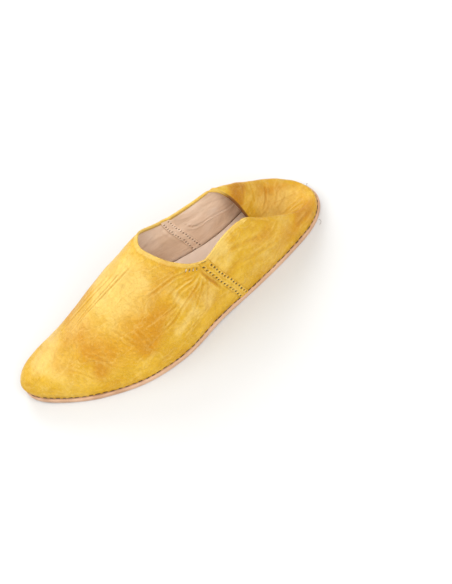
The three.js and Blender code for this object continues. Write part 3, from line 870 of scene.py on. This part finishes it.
def make_bar_tack():
    """Four short stitches below the throat's edge, in front of the lateral seam, each in two colours."""
    dark, white = [], []
    for k, turn in enumerate(TACK_TURNS):
        column = column_of(turn, 1)
        low, high = on_grid(OUTER, column + 0.6, 0.915), on_grid(OUTER, column - 0.8, 0.955)
        middle = (low + high) / 2
        n = on_grid(NORMAL, column, 0.93)
        out = n * TACK_PROUD
        long_bit = (low + out, high + out, n, 0.30, 0.25)
        short_bit = (middle + out, low + out + (middle - high) * 0.3, n, 0.26, 0.2)
        first, second = (white, dark) if k % 2 else (dark, white)
        first.append(long_bit)
        second.append(short_bit)
    return thread_bits("bar_tack_dark", dark), thread_bits("bar_tack_white", white)


# ---- sole and its stitches
def plate(name, levels, cap_steps, top_shape=None):
    """Closed plate from (inset, height) levels round the outline, with gridded caps."""
    turn, side = ring_of(SOLE_STATIONS)
    rings = []
    for inset, height in levels:
        flat = outline_points(turn, side, inset)
        rings.append(np.column_stack([flat, height + lift(flat[:, 1])]))
    points = list(np.concatenate(rings))
    numbers = np.arange(len(points)).reshape(len(levels), SOLE_STATIONS)
    faces = []
    for low, high in zip(numbers[:-1], numbers[1:]):
        faces.extend(band_faces(low, high).tolist())
    half = SOLE_STATIONS // 2
    for top in (False, True):
        ring = numbers[-1 if top else 0]
        grid = np.repeat(ring[: half + 1, None], cap_steps + 1, axis=1)
        for i in range(1, half):
            grid[i, -1] = ring[-i]
            for c in range(1, cap_steps):
                s = 0.5 - 0.5 * math.cos(math.pi * (c / cap_steps))
                place = points[ring[i]] * (1 - s) + points[ring[-i]] * s
                if top and top_shape:
                    place = place + UP * top_shape(place, min(s, 1 - s))
                grid[i, c] = len(points)
                points.append(place)
        for i in range(half):
            for c in range(cap_steps):
                corners = (grid[i, c], grid[i + 1, c], grid[i + 1, c + 1], grid[i, c + 1])
                corners = list(dict.fromkeys(corners))
                if len(corners) > 2:
                    faces.append(corners[::-1] if top else corners)
    return facing_out(new_mesh(name, points, faces))


GROOVE_INSET = 6.5


def make_outsole():
    """Sole with eased edges and a stitch groove round its underside, as (inset, height) levels."""
    levels = [
        (7.2, 0.0),
        (6.9, 0.10),
        (GROOVE_INSET, 0.55),
        (6.1, 0.10),
        (5.8, 0.0),
        (0.9, 0.0),
        (0.35, 0.18),
        (0.05, 0.6),
        (0.0, 1.2),
        (0.08, 2.3),
        (0.0, 3.0),
        (0.25, 3.45),
        (0.8, SOLE_TOP),
        (2.6, SOLE_TOP + 0.02),
    ]
    return plate("outsole_leather", levels, 24)


def dished(place, from_side):
    """Height added to the insole's top: worn down inside, up again at its sides, a little wavy."""
    wave = 0.05 * math.sin(place[1] / 17.0 + 1) * math.sin(place[0] / 11.0)
    return -0.25 + wave + 0.35 * math.exp(-((from_side / 0.05) ** 2))


def make_insole():
    inset = INSOLE_INSET
    levels = [(inset + 0.5, UPPER_BASE), (inset, 4.2), (inset - 0.5, 5.2), (inset - 0.1, INSOLE_TOP + 0.1)]
    return plate("insole_leather", levels, 40, dished)


def make_sole_stitches():
    """Dark thread between upper and sole, long and short bits with the odd loose one."""
    bits = []
    ring = np.vstack([OUTER[2], OUTER[2][:1]])
    reach = along_lengths(ring)
    at = 0.0
    while at < reach[-1] - 3:
        length = STITCH_PITCH * rng.uniform(0.52, 0.92)
        start = place_along(ring, reach, at)
        end = place_along(ring, reach, at + length)
        way = end - start
        out = unit(np.array([way[1], -way[0], 0.0]))
        middle = (start + end) / 2
        if (middle - np.array([centre_at(middle[1]), middle[1], 0])) @ out < 0:
            out = -out
        dip = rng.uniform(-0.9, -0.3)
        shift = out * rng.uniform(0.0, 0.25) + np.array([0, 0, dip])
        slope = np.array([0, 0, rng.uniform(-0.25, 0.25)])
        bits.append((start + shift, end + shift + slope, out, rng.uniform(0.20, 0.32), 0.15))
        at += STITCH_PITCH * rng.uniform(0.9, 1.1)
    return thread_bits("sole_stitches", bits)


BOTTOM_STITCH_LENGTH = 4.2
BOTTOM_STITCH_HEIGHT = 0.42


def make_bottom_stitches():
    """Stitches lying in the groove under the sole."""
    turn, side = ring_of(SOLE_STATIONS)
    flat = outline_points(turn, side, GROOVE_INSET)
    ring = np.column_stack([flat, BOTTOM_STITCH_HEIGHT + lift(flat[:, 1])])
    ring = np.vstack([ring, ring[:1]])
    reach = along_lengths(ring)
    bits = []
    at = 0.0
    while at < reach[-1] - 4:
        start = place_along(ring, reach, at)
        end = place_along(ring, reach, at + BOTTOM_STITCH_LENGTH)
        bits.append((start, end, -UP, 0.26, 0.10))
        at += STITCH_PITCH
    return thread_bits("bottom_stitches", bits)


def make_loose_threads():
    """A few stray ends of thread at the back of the heel."""
    places = [
        [(23.5, 119.0, 4.2), (25.5, 119.6, 4.4), (26.8, 118.6, 3.4), (26.6, 117.2, 2.4)],
        [(-9, 132.6, 4.2), (-10, 133.7, 4.8), (-9.4, 134.2, 5.4)],
    ]
    bits = []
    for line in places:
        knots = np.linspace(0, 1, len(line))
        t = np.linspace(0, 1, 9)
        path = np.stack([through(knots, np.array(line)[:, k], t) for k in range(3)], -1)
        for a, b in zip(path[:-1], path[1:]):
            bits.append((a, b + (b - a) * 0.1, UP, 0.13, 0.0))
    return thread_bits("loose_threads", bits, 6)


# ---- materials
class Nodes:
    """Short calls for building one node material."""

    def __init__(self, name, roughness, specular=0.5):
        self.material = bpy.data.materials.new(name)
        self.material.use_nodes = True
        self.tree = self.material.node_tree
        self.shader = self.tree.nodes["Principled BSDF"]
        self.shader.inputs["Roughness"].default_value = roughness
        self.shader.inputs["Specular IOR Level"].default_value = specular
        self.place = self.tree.nodes.new("ShaderNodeTexCoord").outputs["Object"]

    def feed(self, socket, value):
        """Links another node's output to a socket, or sets the socket's constant."""
        if isinstance(value, bpy.types.NodeSocket):
            self.tree.links.new(value, socket)
        else:
            socket.default_value = value

    def put(self, kind, settings=None, **inputs):
        node = self.tree.nodes.new(kind)
        for key, value in (settings or {}).items():
            setattr(node, key, value)
        for key, value in inputs.items():
            self.feed(node.inputs[key.replace("_", " ")], value)
        return node

    def scaled(self, x, y, z, rotate=(0, 0, 0)):
        node = self.put("ShaderNodeMapping", Vector=self.place, Scale=(x, y, z), Rotation=rotate)
        return node.outputs["Vector"]

    def noise(self, scale, detail=3.0, rough=0.55, distort=0.0, vector=None):
        inputs = dict(Scale=scale, Detail=detail, Roughness=rough, Distortion=distort)
        return self.put("ShaderNodeTexNoise", Vector=vector or self.place, **inputs).outputs["Fac"]

    def cells(self, scale, vector=None, feature="DISTANCE_TO_EDGE"):
        inputs = dict(Vector=vector or self.place, Scale=scale)
        return self.put("ShaderNodeTexVoronoi", {"feature": feature}, **inputs).outputs["Distance"]

    def ramp(self, value, *stops):
        """Colour ramp through (position, colour or grey value) stops."""
        node = self.put("ShaderNodeValToRGB", Fac=value)
        ramp = node.color_ramp
        while len(ramp.elements) < len(stops):
            ramp.elements.new(0.5)
        for element, (at, colour) in zip(ramp.elements, stops):
            element.position = at
            element.color = (*colour, 1) if isinstance(colour, tuple) else (colour, colour, colour, 1)
        return node.outputs["Color"]

    def contour(self, field, level, width):
        """1 where a field is at a level, falling to 0 at this width from it."""
        off = self.math("ABSOLUTE", self.math("SUBTRACT", field, level))
        return self.ramp(off, (0.0, 1.0), (width, 0.0))

    def mix(self, factor, a, b):
        node = self.put("ShaderNodeMix", {"data_type": "RGBA"})
        for number, value in ((0, factor), (6, a), (7, b)):
            self.feed(node.inputs[number], (*value, 1) if isinstance(value, tuple) else value)
        return node.outputs[2]

    def tint(self, colour, towards, amount, strength):
        """Colour mixed towards another by an amount times a strength, kept within 0 to 1."""
        return self.mix(self.math("MULTIPLY", amount, strength, True), colour, towards)

    def math(self, operation, a, b=0.0, clamp=False):
        node = self.put("ShaderNodeMath", {"operation": operation, "use_clamp": clamp})
        self.feed(node.inputs[0], a)
        self.feed(node.inputs[1], b)
        return node.outputs[0]

    def mark(self, name):
        return self.put("ShaderNodeAttribute", {"attribute_name": name}).outputs["Fac"]

    def folds(self, times):
        """The painted shade and highlight mark times a number, kept within 0 to 1: ridges above 0, troughs
        below 0.
        """
        return self.math("MULTIPLY", self.mark("relief_shade"), times, True)

    def finish(self, colour, roughness=None, bumps=()):
        """Joins colour, roughness and a chain of (height, depth in metres) bumps to the shader."""
        self.feed(self.shader.inputs["Base Color"], colour)
        if roughness is not None:
            self.feed(self.shader.inputs["Roughness"], roughness)
        for height, depth in bumps:
            bump = self.put("ShaderNodeBump", Height=height, Strength=1.0, Distance=depth)
            normal = self.shader.inputs["Normal"]
            if normal.is_linked:
                self.feed(bump.inputs["Normal"], normal.links[0].from_socket)
            self.feed(normal, bump.outputs["Normal"])
        return self.material


GOLD = (0.64, 0.36, 0.010)
GOLD_PALE = (0.74, 0.46, 0.040)
GOLD_DEEP = (0.57, 0.27, 0.004)
ORANGE = (0.56, 0.235, 0.002)
AMBER = (0.42, 0.15, 0.003)
CREAM = (0.84, 0.61, 0.19)
RAW_EDGE = (0.20, 0.075, 0.02)


def yellow_leather():
    n = Nodes("yellow_leather", 0.42, 0.26)
    cloud = n.noise(24, 5, 0.6, 0.8)
    streak = n.noise(46, 4, 0.6, 0.9, n.scaled(1.3, 0.35, 1.3, (0, 0, 0.15)))
    colour = n.ramp(n.mix(0.5, cloud, streak), (0.36, GOLD_DEEP), (0.49, GOLD), (0.60, GOLD_PALE))
    # paler leather, and painted highlight along the crown and the collar's rim, with flecked edges
    fleck = n.math("MULTIPLY", n.math("SUBTRACT", n.noise(150, 4, 0.65, 0.5), 0.55), 1.3)
    colour = n.tint(colour, CREAM, n.math("ADD", n.mark("pale"), fleck, True), 0.60)
    # cracks of the waxed grain, pale where the dye has rubbed off
    wander = n.put("ShaderNodeTexNoise", Vector=n.place, Scale=90.0).outputs["Color"]
    crack_at = n.mix(0.12, n.place, wander)
    cracks = n.ramp(n.cells(95, crack_at), (0.0, 1.0), (0.045, 0.0))
    hair = n.ramp(n.cells(240, crack_at), (0.0, 1.0), (0.07, 0.0))
    worn = n.ramp(n.noise(38, 3, 0.5), (0.42, 0.0), (0.62, 1.0))
    colour = n.tint(colour, CREAM, n.math("MULTIPLY", cracks, worn), 0.50)
    colour = n.tint(colour, GOLD_DEEP, hair, 0.16)
    # darker dye, and the stained middle of its strongest patches
    dye = n.math("ADD", n.mark("brown"), n.math("SUBTRACT", streak, 0.52), True)
    colour = n.tint(colour, ORANGE, dye, 0.85)
    stain = n.math("MULTIPLY", n.math("SUBTRACT", n.mark("brown"), 0.9), 0.8, True)
    colour = n.tint(colour, AMBER, stain, 0.75)
    # faint hairline wrinkles, a dark line beside a pale one
    lines_at = n.noise(34, 3, 0.5, 0.5, n.scaled(1.5, 0.4, 1.5, (0.2, 0, 0.2)))
    dark_line = n.contour(lines_at, 0.50, 0.012)
    pale_line = n.contour(lines_at, 0.520, 0.014)
    colour = n.tint(colour, ORANGE, dark_line, 0.16)
    colour = n.tint(colour, CREAM, pale_line, 0.22)
    speck = n.noise(420, 3, 0.7)
    colour = n.mix(n.ramp(speck, (0.50, 0.0), (0.80, 0.30)), colour, CREAM)
    colour = n.mix(n.ramp(speck, (0.25, 0.30), (0.48, 0.0)), colour, ORANGE)
    # painted shade in the troughs of the folds, and painted highlight on their ridges
    colour = n.tint(colour, AMBER, n.folds(-1.8), 0.6)
    colour = n.tint(colour, CREAM, n.folds(2.6), 0.6)
    colour = n.mix(n.mark("cut"), colour, RAW_EDGE)
    rough = n.ramp(n.noise(60, 4, 0.6), (0.3, 0.28), (0.7, 0.50))
    bumps = (
        (n.noise(55, 5, 0.6, 0.6), 0.0010),
        (n.math("SUBTRACT", pale_line, dark_line), 0.00007),
        (n.math("MULTIPLY", cracks, -1.0), 0.00012),
        (hair, 0.00006),
        (n.cells(900, feature="F1"), 0.00008),
    )
    return n.finish(colour, rough, bumps)


def lining_leather():
    n = Nodes("lining_leather", 0.62, 0.35)
    cloud = n.noise(30, 5, 0.6, 0.6)
    tones = (0.30, (0.82, 0.62, 0.45)), (0.52, (0.91, 0.72, 0.56)), (0.72, (0.95, 0.79, 0.66))
    streak = n.noise(70, 4, 0.6, 1.2, n.scaled(1, 0.35, 1, (0.4, 0, 0.3)))
    colour = n.mix(n.ramp(streak, (0.40, 0.35), (0.55, 0.0)), n.ramp(cloud, *tones), (0.62, 0.42, 0.28))
    # painted highlight on the lining's ridges and painted shade in its troughs
    colour = n.tint(colour, (0.97, 0.86, 0.74), n.folds(1.1), 0.35)
    colour = n.tint(colour, (0.45, 0.26, 0.15), n.folds(-1.4), 0.5)
    rough = n.ramp(cloud, (0.3, 0.55), (0.7, 0.72))
    return n.finish(colour, rough, ((streak, 0.0010), (n.noise(420, 3), 0.00012)))


def insole_leather():
    n = Nodes("insole_leather", 0.6, 0.35)
    cloud = n.noise(24, 5, 0.6)
    tones = (0.30, (0.90, 0.74, 0.61)), (0.55, (0.96, 0.83, 0.72)), (0.75, (0.98, 0.89, 0.82))
    specks = n.ramp(n.noise(300, 3, 0.6), (0.62, 0.0), (0.78, 0.35))
    colour = n.mix(specks, n.ramp(cloud, *tones), (0.56, 0.42, 0.34))
    rough = n.ramp(cloud, (0.3, 0.5), (0.7, 0.68))
    return n.finish(colour, rough, ((n.noise(80, 4), 0.0005), (n.noise(500, 2), 0.0001)))


def sole_leather():
    n = Nodes("sole_leather", 0.5, 0.4)
    # growth lines bend along the sole like the rings of a plank
    lines_at = n.scaled(1, 0.28, 1)
    growth = n.noise(42, 5, 0.55, 1.6, lines_at)
    bands = {"wave_type": "BANDS", "bands_direction": "X"}
    bends = dict(Scale=26.0, Distortion=9.0, Detail=3.0, Detail_Scale=1.4)
    waves = n.put("ShaderNodeTexWave", bands, Vector=lines_at, **bends).outputs["Fac"]
    tones = (0.28, (0.44, 0.24, 0.13)), (0.50, (0.57, 0.34, 0.20)), (0.72, (0.65, 0.42, 0.27))
    colour = n.tint(n.ramp(growth, *tones), (0.72, 0.48, 0.34), waves, 0.28)
    scuff = n.ramp(n.noise(130, 5, 0.7, 0.8), (0.55, 0.0), (0.75, 0.5))
    colour = n.mix(scuff, colour, (0.40, 0.20, 0.13))
    rough = n.ramp(growth, (0.3, 0.42), (0.7, 0.62))
    return n.finish(colour, rough, ((waves, 0.00022), (n.noise(260, 4), 0.00015)))


def thread(name, dark, light):
    n = Nodes(name, 0.7)
    colour = n.ramp(n.noise(700, 3, 0.6), (0.35, dark), (0.7, light))
    return n.finish(colour, bumps=((n.noise(2200, 2), 0.00008),))


def floor_material():
    n = Nodes("pale_floor", 0.75)
    return n.finish(n.ramp(n.noise(3, 2), (0.3, (0.655, 0.655, 0.65)), (0.7, (0.665, 0.665, 0.66))))


# ---- putting it together
def add(piece, material):
    piece.data.materials.clear()
    piece.data.materials.append(material)
    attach(piece, "root")
    return piece


yellow = yellow_leather()
beige = lining_leather()
olive_thread = thread("olive_thread", (0.035, 0.028, 0.012), (0.16, 0.12, 0.05))
brown_thread = thread("brown_thread", (0.030, 0.014, 0.010), (0.17, 0.075, 0.05))
tan_thread = thread("tan_thread", (0.16, 0.085, 0.045), (0.42, 0.27, 0.17))
white_thread = thread("white_thread", (0.42, 0.38, 0.28), (0.72, 0.68, 0.56))

leather = add(make_leather(), yellow)
add(make_lining(), beige)
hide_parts("upper")
for seam_side in (1, -1):
    for inside, strip_material, thread_material in ((False, yellow, olive_thread), (True, beige, tan_thread)):
        add(make_seam_strip(seam_side, inside), strip_material)
        add(make_seam_threads(seam_side, inside), thread_material)
dark_tack, white_tack = make_bar_tack()
add(dark_tack, olive_thread)
add(white_tack, white_thread)
outsole = add(make_outsole(), sole_leather())
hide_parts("outsole")
insole = add(make_insole(), insole_leather())
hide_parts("insole")
add(make_sole_stitches(), brown_thread)
add(make_bottom_stitches(), brown_thread)
add(make_loose_threads(), brown_thread)

# ---- floor, light, camera
bpy.ops.mesh.primitive_plane_add(size=30, location=(0, 0, 0))
floor = bpy.context.object
floor.name = "floor"
floor.data.materials.append(floor_material())

LIGHT_TARGET = Vector((0, 0, 0.03))
LIGHTS = [
    # name, place, size, power, colour
    ("key", (0.98, 0.05, 1.10), (1.3, 1.3), 17.5, (1.0, 0.995, 0.98)),
    ("left", (-0.50, -0.85, 0.95), (1.0, 0.7), 8.2, (1.0, 0.99, 0.97)),
    ("back", (-1.1, 0.35, 0.75), (0.9, 0.7), 9.5, (0.99, 0.99, 1.0)),
]
WORLD_STRENGTH = 0.66
for name, place, size, power, colour in LIGHTS:
    data = bpy.data.lights.new(name, "AREA")
    data.shape = "RECTANGLE"
    data.size, data.size_y = size
    data.energy = power
    data.color = colour
    lamp = bpy.data.objects.new(name, data)
    lamp.location = place
    lamp.rotation_mode = "QUATERNION"
    lamp.rotation_quaternion = (LIGHT_TARGET - Vector(place)).to_track_quat("-Z", "Y")
    bpy.context.scene.collection.objects.link(lamp)

world = bpy.data.worlds.new("studio")
world.use_nodes = True
background = world.node_tree.nodes["Background"].inputs
background["Color"].default_value = (1, 1, 1, 1)
background["Strength"].default_value = WORLD_STRENGTH
bpy.context.scene.world = world
bpy.context.scene.view_settings.view_transform = "Standard"

CAMERA_PLACE = Vector((0.6975, -0.1814, 0.9389))
CAMERA_FORWARD = Vector((-0.5772, 0.1785, -0.7968)).normalized()
CAMERA_UP = Vector((-0.5825, 0.5938, 0.5550))
CAMERA_LENS = 96.6
CAMERA_SENSOR = 36.0


def make_camera():
    data = bpy.data.cameras.new("camera")
    data.sensor_width = CAMERA_SENSOR
    data.lens = CAMERA_LENS
    data.clip_end = 100
    camera = bpy.data.objects.new("camera", data)
    right = CAMERA_FORWARD.cross(CAMERA_UP).normalized()
    up = right.cross(CAMERA_FORWARD)
    turn = Matrix((right, up, -CAMERA_FORWARD)).transposed()
    camera.rotation_mode = "QUATERNION"
    camera.rotation_quaternion = turn.to_quaternion()
    camera.location = CAMERA_PLACE
    bpy.context.scene.collection.objects.link(camera)
    bpy.context.scene.camera = camera


make_camera()
